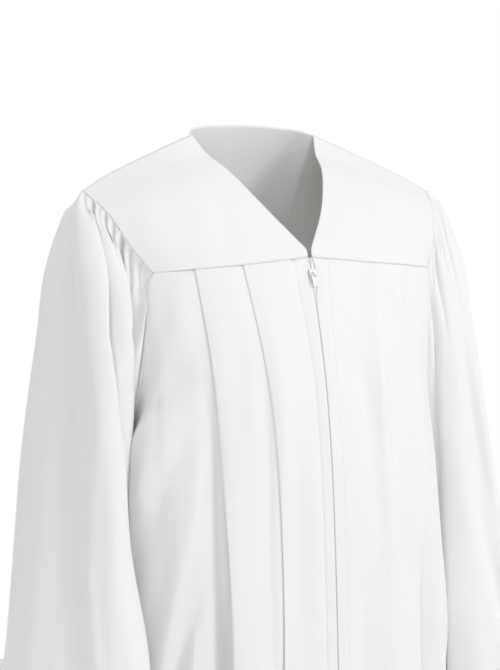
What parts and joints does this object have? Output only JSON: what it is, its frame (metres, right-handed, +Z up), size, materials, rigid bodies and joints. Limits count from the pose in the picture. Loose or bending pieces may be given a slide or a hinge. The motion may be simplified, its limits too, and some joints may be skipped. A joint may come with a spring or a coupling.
{
  "type": "choir robe",
  "caption": "White full-length choir robe with a V neck, plain yokes, knife-pleated fronts and back, wide gathered bell sleeves and a front zip with a swinging pull.",
  "frame": {"origin": "midway between the two sides of the neck, at the height of the shoulders' inner ends", "axes": "+Z up, -Y to the front, +X to the wearer's left"},
  "size_m": [0.634, 0.44, 1.3122],
  "materials": {
    "cloth": "matte white woven polyester",
    "zip_tape": "white twill tape",
    "zip_metal": "white enamel"
  },
  "bodies": {
    "root": {"yoke_front_right": "cloth", "yoke_front_left": "cloth", "yoke_back": "cloth", "front_right": "cloth", "front_left": "cloth", "back_panel": "cloth", "sleeve_right": "cloth", "sleeve_left": "cloth", "zip_tape_right": "zip_tape", "zip_tape_left": "zip_tape", "zip_slider": "zip_metal", "zip_top_stop_right": "zip_metal", "zip_top_stop_left": "zip_metal"},
    "pull": {"zip_pull": "zip_metal"}
  },
  "joints": [
    {"name": "pull_swing", "type": "hinge", "parent": "root", "child": "pull", "pos_m": [0, -0.11487, -0.14799], "axis": [-1, 0, 0], "range_deg": [0, 150]}
  ]
}
